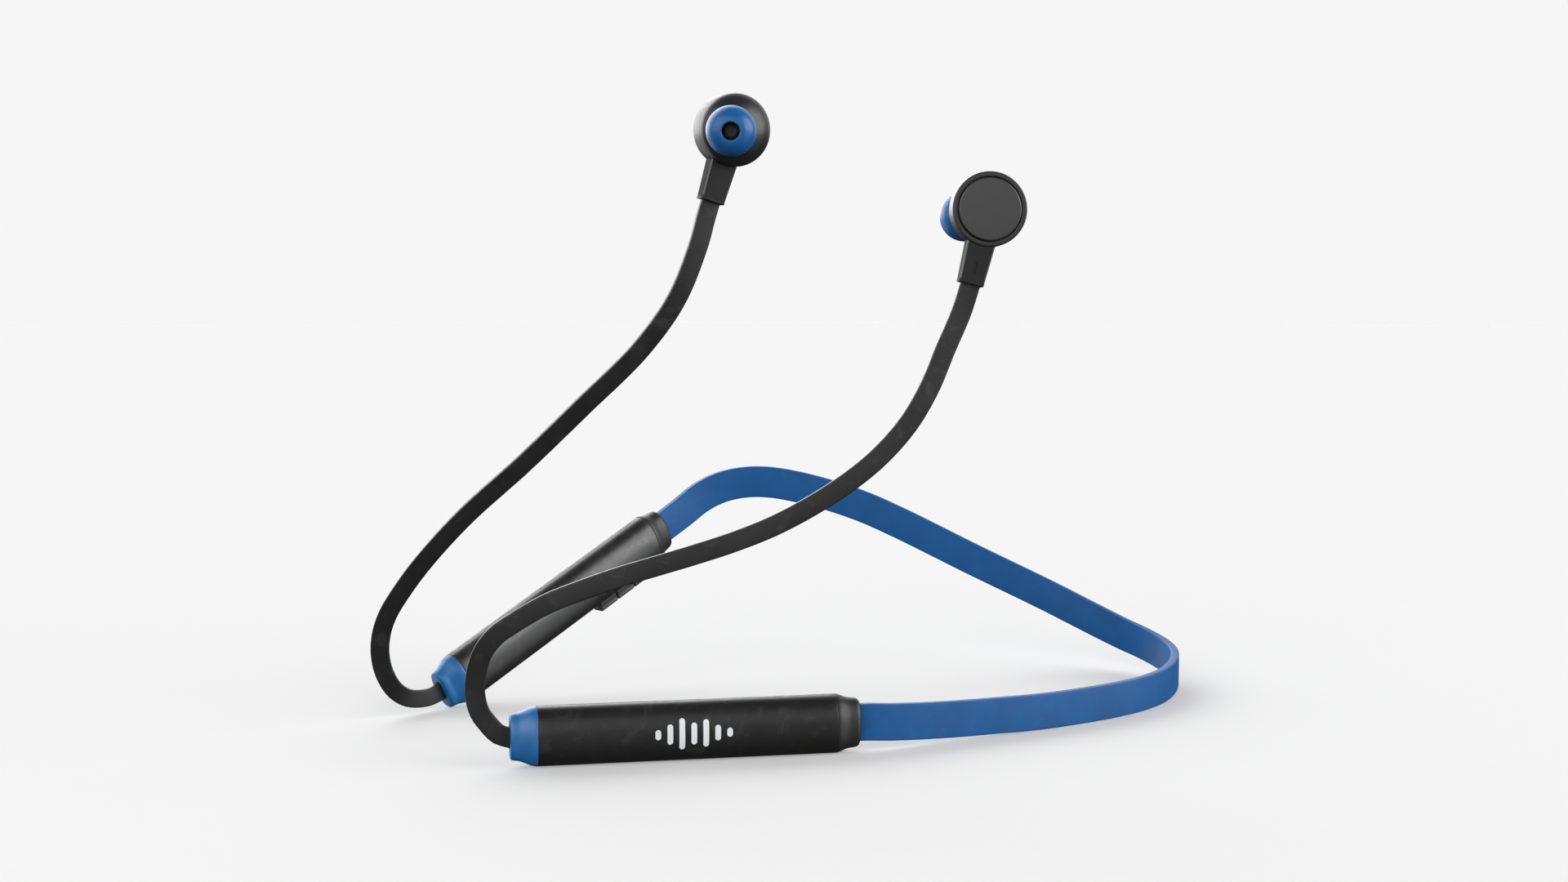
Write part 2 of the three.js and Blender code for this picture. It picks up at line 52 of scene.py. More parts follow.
# ---- sizes ---------------------------------------------------------------------------
CENTRE = Vector((0.34, 1.02, 0))  # of the footprint, as in part.mjs
POD_LENGTH, POD_THICK, POD_TALL = 76.5, 9, 13
POD_WALL = 1.2
BOOT_LENGTH, TAIL_LENGTH = 5.8, 5.4
SQUARENESS = 2.3
SPIGOT = (5.8, 9.8)  # thickness and height of the plug behind each boot
SPIGOT_LENGTH = 3.2
SEAM = 0.04  # visible joint between two mouldings
SEAM_LIP = 0.06  # the small chamfer along it
STRAP_THICK, STRAP_TALL, STRAP_ROUND = 2.1, 8.2, 0.42
CABLE_THICK, CABLE_WIDE, CABLE_ROUND = 1.5, 4.3, 0.4
BUD_RADIUS = 7.95
NOZZLE_TILT, NOZZLE_TURN, NOZZLE_SHIFT, NOZZLE_ROOT = 0.38, 0.45, 0.95, 2.2


def stand(at, heading, lean=0, nod=0):
    """The frame of a pod or bud: turned about X by nod, about Y by lean, about Z by heading."""
    turned = Matrix.Rotation(heading * DEG, 4, "Z") @ Matrix.Rotation(lean * DEG, 4, "Y")
    return Matrix.Translation(Vector(at) - CENTRE) @ turned @ Matrix.Rotation(nod * DEG, 4, "X")


LEFT_POD = stand((-65.6, -57.3, 6.5), 11.3)
RIGHT_POD = stand((-89.5, 1.8, 4.5), 42.7, -25.9)
LEFT_BUD = stand((36, -52, 118.5), 4, 14, -3)
RIGHT_BUD = stand((-18.1, -39, 136), 201.5, -17, -1)

STRAP_ROUTE = [
    (6.5, -42.9, 6.5), (9.4, -42.3, 6.5), (11.4, -41.8, 6.45), (17.5, -39.3, 5.9), (28.6, -33.5, 5.1),
    (40.7, -27, 4.6), (53.3, -19.8, 4.2), (66.2, -11.2, 4.15), (74.6, -4.2, 4.15),
    (80.2, 1.8, 4.2), (85.8, 9.9, 4.4), (89.9, 19.9, 4.9), (91.7, 30, 5.6),
    (90.6, 38.1, 6.5), (86.6, 45.6, 8.1), (81.4, 50.6, 10), (72.8, 55.4, 13.9),
    (63.3, 58.3, 18.5), (43.4, 60.2, 28), (23.6, 61, 37.8), (13.4, 61.4, 42.3),
    (2.3, 61.6, 45.9), (-7.9, 61.5, 48.2), (-13.5, 60.8, 48.8), (-18.9, 59.6, 48.6),
    (-24.3, 57.8, 47.4), (-29.1, 55.6, 45.1), (-33.6, 52.8, 41.7), (-37.6, 49.7, 38.9),
    (-38.9, 48.5, 37.95), (-40.9, 46.6, 36.6),
]
LEFT_CABLE_ROUTE = [
    (-66, -57.4, 6.5), (-68, -57.8, 7.3), (-70.1, -58.1, 9.6), (-71.8, -58.6, 12.3),
    (-72.6, -59.2, 16.6), (-72, -60, 21.5), (-70.4, -61, 25.8), (-67.7, -61.8, 29.2),
    (-64.4, -62.3, 31.6), (-57, -62.7, 36), (-49.5, -62.8, 39), (-42.1, -62.6, 41.6),
    (-34, -62.3, 44), (-25.9, -62, 46.4), (-17.3, -61.8, 49.2), (-9.1, -61.6, 52.5),
    (-1.3, -61.4, 56.6), (6.6, -61, 61.7), (13.1, -60.2, 67), (19, -59, 73.6),
    (23.5, -57.8, 81.1), (27, -56.2, 89.3), (30.4, -54.6, 97), (32.15, -54.24, 102.47),
]
RIGHT_CABLE_ROUTE = [
    (-89.76, 1.56, 4.33), (-91.2, 0.2, 3.7), (-93.2, -2.2, 3.5), (-96.2, -5.2, 4.2),
    (-98.8, -8, 6.6), (-100.7, -10.3, 10.8), (-101.4, -12.3, 16), (-100.7, -14, 21.1),
    (-98.8, -16, 25.9), (-96, -18.1, 30.4), (-89.7, -21.9, 38.7), (-79.3, -27, 49.9),
    (-64.8, -32.4, 62.9), (-51.4, -36.7, 75.7), (-38.3, -40.3, 88.5), (-30.4, -41.4, 99.4),
    (-25.6, -40.4, 111.2), (-24.12, -39.81, 116.7), (-23.12, -39.48, 120.15),
]
LEFT_FACING = [11.3, 2, 0, 0, 4, 6]
RIGHT_FACING = [42.7, 14, 2, 2, 8, 14, 20, 24, 25, 25, 25, 24, 24, 23, 22, 22, 22]


# ---- camera --------------------------------------------------------------------------
def make_camera():
    data = bpy.data.cameras.new("camera")
    data.lens = 50
    data.sensor_width = 36
    data.clip_start = 0.01
    camera = bpy.data.objects.new("camera", data)
    camera.location = (Vector((-7, -515, 110)) - CENTRE) * MM
    camera.rotation_euler = (85 * DEG, 0, 0)
    bpy.context.collection.objects.link(camera)
    bpy.context.scene.camera = camera


make_camera()


# ---- materials -----------------------------------------------------------------------
class Nodes:
    """A short way to add nodes to a tree and link them."""

    def __init__(self, tree):
        self.tree = tree
        self.tree.nodes.clear()

    def add(self, kind, inputs=None, **settings):
        node = self.tree.nodes.new(kind)
        for key, value in settings.items():
            setattr(node, key, value)
        for key, value in (inputs or {}).items():
            self.feed(node.inputs[key], value)
        return node

    def feed(self, socket, value):
        if isinstance(value, bpy.types.NodeSocket):
            self.tree.links.new(value, socket)
        else:
            socket.default_value = value

    def noise(self, at, size, detail=3, roughness=0.55, distortion=0):
        """Noise with features of about size millimetres."""
        inputs = {"Vector": at, "Scale": 1 / (size * MM), "Detail": detail}
        inputs.update({"Roughness": roughness, "Distortion": distortion})
        return self.add("ShaderNodeTexNoise", inputs).outputs["Fac"]

    def remap(self, value, low, high, to_low, to_high):
        inputs = {0: value, 1: low, 2: high, 3: to_low, 4: to_high}
        return self.add("ShaderNodeMapRange", inputs, interpolation_type="SMOOTHSTEP").outputs[0]

    def math(self, operation, a, b=0.0):
        return self.add("ShaderNodeMath", {0: a, 1: b}, operation=operation).outputs[0]

    def mix(self, share, a, b):
        node = self.add("ShaderNodeMix", data_type="RGBA")
        self.feed(node.inputs[0], share)
        self.feed(node.inputs[6], a)
        self.feed(node.inputs[7], b)
        return node.outputs[2]


def shade(colour, factor):
    return tuple(c * factor for c in colour[:3]) + (1,)


def moulded(name, colour, roughness, grain=0.18, depth=0.006, mottle=0.1, smudge=0.0, specular=0.5):
    """A moulded plastic or rubber: a fine grain, slow changes of tone and faint handling marks."""
    material = bpy.data.materials.new(name)
    material.use_nodes = True
    n = Nodes(material.node_tree)
    at = n.add("ShaderNodeTexCoord").outputs["Object"]
    slow = n.noise(at, 9, 2)
    fine = n.noise(at, grain, 2, 0.6)
    streaks = n.noise(at, 1.7, 4, 0.6, 0.8)
    tone = n.mix(n.remap(slow, 0.35, 0.65, 0, 1), shade(colour, 1 - mottle), shade(colour, 1 + mottle))
    marks = n.remap(n.noise(at, 5.5, 5, 0.62, 1.6), 0.53, 0.72, 0, smudge)
    tone = n.mix(marks, tone, shade([c + 0.02 for c in colour[:3]], 1.5))
    uneven = n.remap(streaks, 0.3, 0.7, roughness - 0.04, roughness + 0.05)
    rough = n.math("ADD", uneven, n.math("MULTIPLY", marks, -0.12))
    bump = n.add("ShaderNodeBump", {"Strength": 0.6, "Distance": depth * MM, "Height": fine})
    shader = n.add("ShaderNodeBsdfPrincipled", {
        "Base Color": tone, "Roughness": rough, "Normal": bump.outputs[0],
        "Specular IOR Level": specular,
    })
    n.add("ShaderNodeOutputMaterial", {"Surface": shader.outputs[0]})
    return material


def metal(name, colour, roughness, stretch=(1, 1, 1)):
    """A stamped or rolled metal with fine lines along the stretched direction."""
    material = bpy.data.materials.new(name)
    material.use_nodes = True
    n = Nodes(material.node_tree)
    at = n.add("ShaderNodeTexCoord").outputs["Object"]
    lined = n.add("ShaderNodeMapping", {"Vector": at, "Scale": stretch}).outputs[0]
    lines = n.noise(lined, 0.25, 3)
    tone = n.mix(n.noise(at, 3, 3), shade(colour, 0.8), shade(colour, 1.1))
    bump = n.add("ShaderNodeBump", {"Strength": 0.4, "Distance": 0.01 * MM, "Height": lines})
    shader = n.add("ShaderNodeBsdfPrincipled", {
        "Base Color": tone, "Metallic": 1.0, "Normal": bump.outputs[0],
        "Roughness": n.remap(lines, 0.3, 0.7, roughness - 0.06, roughness + 0.1),
    })
    n.add("ShaderNodeOutputMaterial", {"Surface": shader.outputs[0]})
    return material


def circuit_board():
    """Green solder mask with lighter traces and small plated pads."""
    material = bpy.data.materials.new("circuit_board")
    material.use_nodes = True
    n = Nodes(material.node_tree)
    at = n.add("ShaderNodeTexCoord").outputs["Object"]
    traces = n.add("ShaderNodeTexBrick", {
        "Vector": at, "Scale": 400, "Color1": (0.01, 0.09, 0.035, 1), "Color2": (0.012, 0.11, 0.045, 1),
        "Mortar": (0.03, 0.2, 0.08, 1), "Mortar Size": 0.06,
    })
    pads = n.add("ShaderNodeTexVoronoi", {"Vector": at, "Scale": 900}).outputs["Distance"]
    plated = n.remap(pads, 0.16, 0.2, 1, 0)
    tone = n.mix(plated, traces.outputs["Color"], (0.75, 0.6, 0.3, 1))
    shader = n.add("ShaderNodeBsdfPrincipled", {
        "Base Color": tone, "Roughness": 0.35, "Metallic": plated,
    })
    n.add("ShaderNodeOutputMaterial", {"Surface": shader.outputs[0]})
    return material


def woven_wire():
    """A dark wire gauze: two crossed waves raise the wires, and the holes between them are painted
    near-black as painted shade of the hollow behind.
    """
    material = bpy.data.materials.new("grille")
    material.use_nodes = True
    n = Nodes(material.node_tree)
    at = n.add("ShaderNodeTexCoord").outputs["Object"]
    waves = [
        n.add("ShaderNodeTexWave", {"Vector": at, "Scale": 1900}, bands_direction=axis).outputs["Fac"]
        for axis in ("X", "Z")
    ]
    wires = n.math("MAXIMUM", *waves)
    # the holes' near-black is painted shade
    tone = n.mix(n.remap(wires, 0.5, 0.9, 0, 1), (0.008, 0.008, 0.008, 1), (0.11, 0.1, 0.085, 1))
    bump = n.add("ShaderNodeBump", {"Strength": 0.8, "Distance": 0.03 * MM, "Height": wires})
    shader = n.add("ShaderNodeBsdfPrincipled", {
        "Base Color": tone, "Metallic": 0.6, "Roughness": 0.5, "Normal": bump.outputs[0],
    })
    n.add("ShaderNodeOutputMaterial", {"Surface": shader.outputs[0]})
    return material


def clear_plastic():
    material = bpy.data.materials.new("clear_plastic")
    material.use_nodes = True
    n = Nodes(material.node_tree)
    at = n.add("ShaderNodeTexCoord").outputs["Object"]
    haze = n.noise(at, 0.4, 2)
    shader = n.add("ShaderNodeBsdfPrincipled", {
        "Base Color": n.mix(haze, (0.75, 0.8, 0.82, 1), (0.9, 0.93, 0.95, 1)),
        "Roughness": n.remap(haze, 0.3, 0.7, 0.12, 0.3), "Transmission Weight": 0.35,
    })
    n.add("ShaderNodeOutputMaterial", {"Surface": shader.outputs[0]})
    return material


def printed_white():
    """Pad-printed ink: a little uneven in tone, with a faint orange peel."""
    return moulded("printed_white", (0.86, 0.88, 0.9), 0.42, grain=0.3, depth=0.004, mottle=0.03)


CASING = moulded("casing", (0.0115, 0.0115, 0.0112), 0.36, smudge=0.5, specular=0.55)
# painted light: a lighter, glossier copy of the casing for the right pod, with more of the lighter
# handling marks
LIT_CASING = moulded("painted_lit_casing", (0.0145, 0.0145, 0.0142), 0.37, smudge=0.8, specular=0.85)
BLACK_RUBBER = moulded("black_rubber", (0.02, 0.02, 0.0195), 0.42, grain=0.22, smudge=0.3)
BLUE_RUBBER = moulded(
    "blue_rubber", (0.012, 0.15, 0.425), 0.38,
    grain=0.3, depth=0.004, mottle=0.05, smudge=0.1, specular=0.75,
)
BLUE_STRAP = moulded(
    "blue_strap", (0.009, 0.102, 0.315), 0.46,
    grain=0.3, depth=0.004, mottle=0.06, smudge=0.16, specular=0.25,
)
TIP_SILICONE = moulded("tip_silicone", (0.01, 0.115, 0.35), 0.34, grain=0.4, depth=0.002, mottle=0.04)
CABLE_JACKET = moulded(
    "cable_jacket", (0.0225, 0.0225, 0.0225), 0.4, grain=0.25, smudge=0.5, specular=0.38,
)
BUD_PLASTIC = moulded("bud_plastic", (0.018, 0.018, 0.0178), 0.36, grain=0.16, specular=0.6)
BUD_DISC = moulded("bud_disc", (0.034, 0.034, 0.0335), 0.38, grain=0.16, mottle=0.05, specular=0.75)
STEM_BLACK = moulded("stem_black", (0.0175, 0.0175, 0.0175), 0.46, grain=0.2, specular=0.3)
# painted shade: a darker, almost unreflecting copy of the stem plastic for the stem's flat side faces
SHADED_STEM_SIDE = moulded("stem_side_painted_shade", (0.016, 0.016, 0.0155), 0.6, grain=0.2, specular=0.04)
# painted highlight: a lighter, glossier copy of the stem plastic for the stem's rounded edges
EDGE_HIGHLIGHT_PAINT = moulded("painted_edge_highlight", (0.024, 0.024, 0.0235), 0.3, grain=0.2, specular=0.9)
# painted shade: near-black for the spout's end and bore, standing in for the dark hollow inside the tip
SPOUT_SHADE = moulded("spout_painted_shade", (0.003, 0.003, 0.0045), 0.5, grain=0.2, specular=0.2)
PRINT = printed_white()
STEEL = metal("steel", (0.62, 0.63, 0.65), 0.3, (1, 12, 1))
CELL_FOIL = metal("cell_foil", (0.55, 0.57, 0.6), 0.35)
COPPER = metal("copper", (0.75, 0.38, 0.18), 0.35, (1, 1, 14))
BOARD = circuit_board()
GRILLE = woven_wire()
CLEAR = clear_plastic()


# ---- mesh helpers --------------------------------------------------------------------
def solid(name, points, faces, place=Matrix.Identity(4)):
    """A closed mesh object from points in millimetres in the frame that place gives."""
    mesh = bpy.data.meshes.new(name)
    mesh.from_pydata([(place @ Vector(p)) * MM for p in points], [], faces)
    shell = bmesh.new()
    shell.from_mesh(mesh)
    bmesh.ops.recalc_face_normals(shell, faces=shell.faces)
    shell.to_mesh(mesh)
    shell.free()
    made = bpy.data.objects.new(name, mesh)
    bpy.context.collection.objects.link(made)
    return made


def combine(piece, other, operation="DIFFERENCE"):
    """Cuts other out of piece, or joins it on, and deletes other."""
    modifier = piece.modifiers.new("combine", "BOOLEAN")
    modifier.operation = operation
    modifier.solver = "EXACT"
    modifier.object = other
    bpy.context.view_layer.update()
    result = bpy.data.meshes.new_from_object(piece.evaluated_get(bpy.context.evaluated_depsgraph_get()))
    piece.modifiers.clear()
    piece.data = result
    bpy.data.objects.remove(other)
    return piece


def dress(piece, material, slot, body, *nodes, crease=32):
    """Gives a finished mesh its material, shading and body, and hides what it replaces; slot is not
    used.
    """
    piece.data.materials.clear()
    piece.data.materials.append(material)
    piece.data.shade_smooth()
    piece.data.set_sharp_from_angle(angle=crease * DEG)
    if nodes:
        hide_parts(*nodes)
    if body:
        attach(piece, body)
    return piece


def recoat(piece, material, place, chosen):
    """Gives another material to the faces that chosen(centre, normal) picks in the frame of place."""
    piece.data.materials.append(material)
    inwards = place.inverted()
    for face in piece.data.polygons:
        if chosen(inwards @ (face.center / MM), inwards.to_3x3() @ face.normal):
            face.material_index = len(piece.data.materials) - 1


def skin(rings, closed=False):
    """Points and faces through rings of equally many points, capped unless it closes on itself."""
    count = len(rings[0])
    faces = []
    for r in range(len(rings) if closed else len(rings) - 1):
        here, there = r * count, (r + 1) % len(rings) * count
        for i in range(count):
            j = (i + 1) % count
            faces.append((here + i, here + j, there + j, there + i))
    if not closed:
        last = (len(rings) - 1) * count
        faces += [tuple(range(count)), tuple(range(last, last + count))]
    return [point for ring in rings for point in ring], faces


def turned(profile, segments=112):
    """Points and faces of a body of revolution about Y, from (radius, y) points."""
    points, rows, faces = [], [], []
    closed = (Vector(profile[0]) - Vector(profile[-1])).length < 1e-6
    for radius, y in profile[:-1] if closed else profile:
        first = len(points)
        if radius < 1e-6:
            points.append((0, y, 0))
            rows.append([first] * segments)
            continue
        for i in range(segments):
            angle = 2 * math.pi * i / segments
            points.append((radius * math.cos(angle), y, radius * math.sin(angle)))
        rows.append(list(range(first, first + segments)))
    for r in range(len(rows) if closed else len(rows) - 1):
        here, there = rows[r], rows[(r + 1) % len(rows)]
        for i in range(segments):
            j = (i + 1) % segments
            corners = dict.fromkeys((here[i], here[j], there[j], there[i]))
            if len(corners) > 2:
                faces.append(tuple(corners))
    return points, faces


def filleted(corners, closed=False, steps=5):
    """A line through (x, y, radius) corners, each rounded."""
    line = []
    for i, (x, y, radius) in enumerate(corners):
        here = Vector((x, y))
        if not radius or (not closed and i in (0, len(corners) - 1)):
            line.append(here)
            continue
        before = Vector(corners[i - 1][:2]) - here
        after = Vector(corners[(i + 1) % len(corners)][:2]) - here
        reach = radius / math.tan(before.angle(after) / 2)
        start = here + before.normalized() * min(reach, 0.49 * before.length)
        end = here + after.normalized() * min(reach, 0.49 * after.length)
        for k in range(steps + 1):
            t = k / steps
            line.append(start * (1 - t) ** 2 + here * 2 * t * (1 - t) + end * t * t)
    return line


def rounded_section(thick, tall, radius, steps=5):
    x, y = thick / 2, tall / 2
    return filleted([(x, -y, radius), (x, y, radius), (-x, y, radius), (-x, -y, radius)], True, steps)


class Route:
    """A smooth curve through points, measured by its own length: a centripetal Catmull-Rom."""

    def __init__(self, points, fine=24):
        points = [Vector(p) for p in points]
        ends = [2 * points[0] - points[1], *points, 2 * points[-1] - points[-2]]
        self.line = []
        for i in range(1, len(ends) - 2):
            self.line += [self.between(ends[i - 1:i + 3], k / fine) for k in range(fine)]
        self.line.append(points[-1])
        self.reach = [0.0]
        for a, b in zip(self.line, self.line[1:]):
            self.reach.append(self.reach[-1] + (b - a).length)
        self.length = self.reach[-1]

    @staticmethod
    def between(four, t):
        p0, p1, p2, p3 = four
        d0, d1, d2 = (math.sqrt((b - a).length) for a, b in zip(four, four[1:]))
        m1 = ((p1 - p0) / d0 - (p2 - p0) / (d0 + d1) + (p2 - p1) / d1) * d1
        m2 = ((p2 - p1) / d1 - (p3 - p1) / (d1 + d2) + (p3 - p2) / d2) * d1
        square, cube = t * t, t ** 3
        start = p1 * (2 * cube - 3 * square + 1) + m1 * (cube - 2 * square + t)
        return start + p2 * (3 * square - 2 * cube) + m2 * (cube - square)

    def at(self, share):
        goal = min(max(share, 0), 1) * self.length
        low, high = 0, len(self.reach) - 1
        while high - low > 1:
            middle = (low + high) // 2
            if self.reach[middle] <= goal:
                low = middle
            else:
                high = middle
        t = (goal - self.reach[low]) / (self.reach[high] - self.reach[low])
        return self.line[low].lerp(self.line[high], t)

    def heading(self, share, step=0.002):
        return (self.at(share + step) - self.at(share - step)).normalized()


def upright(share, tangent):
    """The wide face stands upright, and looks across the route."""
    return Vector((tangent.y, -tangent.x, 0))


def bearing(stations):
    """The wide face looks along a bearing that changes between even stations."""
    def facing(share, tangent):
        place = share * (len(stations) - 1)
        before = min(int(place), len(stations) - 2)
        angle = (stations[before] + (stations[before + 1] - stations[before]) * (place - before)) * DEG
        return Vector((math.sin(angle), -math.cos(angle), 0))
    return facing


def swept(route, section, facing, shares):
    """Rings of a flat section along a route."""
    rings = []
    for share in shares:
        middle, tangent = route.at(share) - CENTRE, route.heading(share)
        tall = tangent.cross(facing(share, tangent)).normalized()
        thick = tall.cross(tangent)
        rings.append([middle + thick * x + tall * y for x, y in section])
    return rings


def even(low, high, count):
    return [low + (high - low) * i / count for i in range(count + 1)]


# ---- cables --------------------------------------------------------------------------
CABLE_RINGS = 150
CABLE_OVERRUN = 1.6  # how far each end runs on inside the boot and the stem


def make_cable(side, points, facing):
    """A flat cable, from inside the boot to inside the stem, that bends just above the boot."""
    route = Route(points)
    section = rounded_section(CABLE_THICK, CABLE_WIDE, CABLE_ROUND)
    rings = swept(route, section, bearing(facing), even(0, 1, CABLE_RINGS))
    along = [
        (route.heading(0.004), rings[0], -CABLE_OVERRUN),
        (route.heading(0.996), rings[-1], CABLE_OVERRUN),
    ]
    first, last = ([point + tangent * reach for point in ring] for tangent, ring, reach in along)
    rings = [first, *rings, last]
    cable = solid(f"{side}_flat_cable", *skin(rings))
    dress(cable, CABLE_JACKET, "cable_jacket", None, f"{side}_cable")
    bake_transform(cable)


make_cable("left", LEFT_CABLE_ROUTE, LEFT_FACING)
make_cable("right", RIGHT_CABLE_ROUTE, RIGHT_FACING)


# ---- strap ---------------------------------------------------------------------------
STRAP_RINGS = 200
STRAP_MIDDLE_AT = 0.56  # share of the strap where its two halves meet
RIBBON_THICK, RIBBON_TALL, RIBBON_ROUND = 0.4, 1.8, 0.1
RIBBON_INSET = 0.01  # share of the strap at each end that the ribbon leaves free
# the stretch round each arm's joint: from, in the middle of the strap, and to
LEFT_BEND = (Vector((0, 8, 0)), Vector((0, -31, 0)))
RIGHT_BEND = (Vector((14, 0, 0)), Vector((-28, 0, 0)))


def make_strap(side, low, high, bend, *parts):
    """Half of the strap, from its middle to a pod, with the ribbon inside it; bend is not used."""
    section = rounded_section(STRAP_THICK, STRAP_TALL, STRAP_ROUND)
    rings = swept(STRAP, section, upright, even(low, high, STRAP_RINGS // 2))
    strap = solid(f"{side}_strap_half", *skin(rings))
    dress(strap, BLUE_STRAP, "blue_rubber", None, *(f"strap_{part}" for part in parts))
    shares = even(max(low, RIBBON_INSET), min(high, 1 - RIBBON_INSET), STRAP_RINGS // 2)
    rings = swept(STRAP, rounded_section(RIBBON_THICK, RIBBON_TALL, RIBBON_ROUND), upright, shares)
    ribbon = solid(f"{side}_signal_ribbon", *skin(rings))
    dress(ribbon, COPPER, "copper", None, *(f"signal_ribbon_{part}" for part in parts))
    for piece in (strap, ribbon):
        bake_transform(piece)


STRAP = Route(STRAP_ROUTE)
make_strap("left", 0, STRAP_MIDDLE_AT, LEFT_BEND, "left", "back")
make_strap("right", STRAP_MIDDLE_AT, 1, RIGHT_BEND, "right")


# ---- pods ----------------------------------------------------------------------------
def oval(thick, tall, count=96, squareness=SQUARENESS):
    """The pods' oval section as (y, z) points."""
    power = 2 / squareness
    points = []
    for i in range(count):
        c, s = math.cos(2 * math.pi * i / count), math.sin(2 * math.pi * i / count)
        y = thick / 2 * math.copysign(abs(c) ** power, c)
        z = tall / 2 * math.copysign(abs(s) ** power, s)
        points.append((y, z))
    return points


def oval_depth(z, thick=POD_THICK, tall=POD_TALL):
    """How far the oval reaches from the middle at height z."""
    return thick / 2 * (1 - min(abs(2 * z / tall), 1) ** SQUARENESS) ** (1 / SQUARENESS)


def half_ring(side, inset):
    """Half of the casing's section, round its outside and back along its inside."""
    outside = [p for p in oval(POD_THICK - 2 * inset, POD_TALL - 2 * inset) if p[0] > 0.2]
    inside = [p for p in oval(POD_THICK - 2 * POD_WALL, POD_TALL - 2 * POD_WALL, 48) if p[0] > 0.2]
    outside.sort(key=lambda p: -p[1])
    inside.sort(key=lambda p: p[1])
    edge, lip, top = SEAM / 2, SEAM_LIP, POD_TALL / 2 - inset
    bottom = POD_TALL / 2 - POD_WALL
    ring = [(edge, top - lip), (edge + lip, top), *outside, (edge + lip, -top), (edge, -top + lip)]
    ring += [(edge, -bottom), *inside, (edge, bottom)]
    return [(side * y, z) for y, z in ring]


def casing_half(name, side, place):
    low, high = BOOT_LENGTH + SEAM, POD_LENGTH - TAIL_LENGTH - SEAM
    edges = [(0, 0.09), (0.02, 0.04), (0.05, 0.014), (0.1, 0)]
    stations = [(low + x, inset) for x, inset in edges]
    stations += [(x, 0) for x in even(low + 2, high - 2, 24)]
    stations += [(high - x, inset) for x, inset in reversed(edges)]
    rings = [[(x, y, z) for y, z in half_ring(side, inset)] for x, inset in stations]
    return solid(name, *skin(rings), place)


def boot(name, stations, slot, place):
    """A boot through smooth (x, thickness, height) stations, with a spigot and a passage."""
    outline = Route([Vector(s) for s in stations], 6).line
    first, last = outline[0], outline[-1]
    inward = 1 if last.y > first.y else -1
    rings = [[(x, y, z) for y, z in oval(thick, tall)] for x, thick, tall in outline]
    end = last.x if inward > 0 else first.x
    spigot = [[(x, y, z) for y, z in oval(*SPIGOT)] for x in (end, end + inward * SPIGOT_LENGTH)]
    hole = oval(*slot, squareness=7)
    lip = oval(slot[0] + 0.3, slot[1] + 0.3, squareness=7)
    outer = first.x if inward > 0 else last.x
    passage = [
        [(end + inward * SPIGOT_LENGTH, y, z) for y, z in hole],
        [(outer + inward * 0.4, y, z) for y, z in hole],
        [(outer + inward * 0.12, y, z) for y, z in oval(slot[0] + 0.06, slot[1] + 0.06, squareness=7)],
        [(outer, y, z) for y, z in lip],
    ]
    rings = rings + spigot + passage if inward > 0 else rings[::-1] + spigot + passage
    return solid(name, *skin(rings, closed=True), place)


CABLE_BOOT = [
    (0, 4.9, 9.0), (0.07, 5.3, 9.4), (0.3, 5.75, 9.85), (0.8, 6.05, 10.15), (1.8, 6.35, 10.45),
    (3.1, 7.3, 11.4), (4.4, 8.45, 12.5), (5.3, 8.93, 12.94), (5.66, 9, 13), (5.76, 8.95, 12.95),
    (5.8, 8.8, 12.8),
]
TAIL_BOOT = [
    (71.1, 8.85, 12.85), (71.14, 8.97, 12.97), (71.22, 9, 13), (71.6, 8.9, 12.9), (72.3, 8.45, 12.4),
    (73.2, 7.75, 11.7), (74.0, 7.35, 11.3), (75.0, 7.1, 11.05), (75.6, 6.95, 10.9), (76.0, 6.7, 10.6),
    (76.3, 6.2, 10.05), (76.5, 5.4, 9.2),
]
CABLE_SLOT = (CABLE_THICK + 0.3, CABLE_WIDE + 0.3)
STRAP_SLOT = (STRAP_THICK + 0.16, STRAP_TALL + 0.16)


def make_boots(side, place):
    body = f"{side}_arm"
    piece = boot(f"{side}_blue_boot", CABLE_BOOT, CABLE_SLOT, place)
    dress(piece, BLUE_RUBBER, "blue_rubber", body, f"{side}_cable_boot")
    piece = boot(f"{side}_black_boot", TAIL_BOOT, STRAP_SLOT, place)
    dress(piece, BLACK_RUBBER, "black_rubber", body, f"{side}_tail_boot")


def make_left_pod():
    for end, side in (("front", -1), ("rear", 1)):
        piece = casing_half(f"left_{end}_shell", side, LEFT_POD)
        dress(piece, CASING, "casing", "left_arm", f"left_casing_{end}")
    make_boots("left", LEFT_POD)


MARK_AT, MARK_PITCH, MARK_WIDE = 31.4, 2.6, 1.25
MARK_HEIGHTS = (2.2, 4.4, 6.8, 4.8, 6.0, 3.4, 2.0)
MARK_PROUD, MARK_SUNK = 0.03, 0.1


def make_mark():
    """A generic printed mark: the upright bars of a sound level, on the left pod's front."""
    points, faces = [], []
    for k, tall in enumerate(MARK_HEIGHTS):
        x, round_end = MARK_AT + k * MARK_PITCH, MARK_WIDE / 2
        straight = tall / 2 - round_end
        levels = [-straight - round_end * math.cos(i * 15 * DEG) for i in range(7)]
        levels += even(-straight, straight, 12)[1:-1] + [-z for z in reversed(levels)]
        rings = []
        for z in levels:
            beyond = max(abs(z) - straight, 0)
            half = max(math.sqrt(max(round_end ** 2 - beyond ** 2, 0)), 0.02)
            out, back = -oval_depth(z) - MARK_PROUD, -oval_depth(z) + MARK_SUNK
            sides = ((-half, out), (half, out), (half, back), (-half, back))
            rings.append([(x + across, y, z) for across, y in sides])
        bar_points, bar_faces = skin(rings)
        faces += [tuple(i + len(points) for i in face) for face in bar_faces]
        points += bar_points
    dress(solid("left_sound_bars", points, faces, LEFT_POD), PRINT, "casing", "left_arm")


make_left_pod()
make_mark()

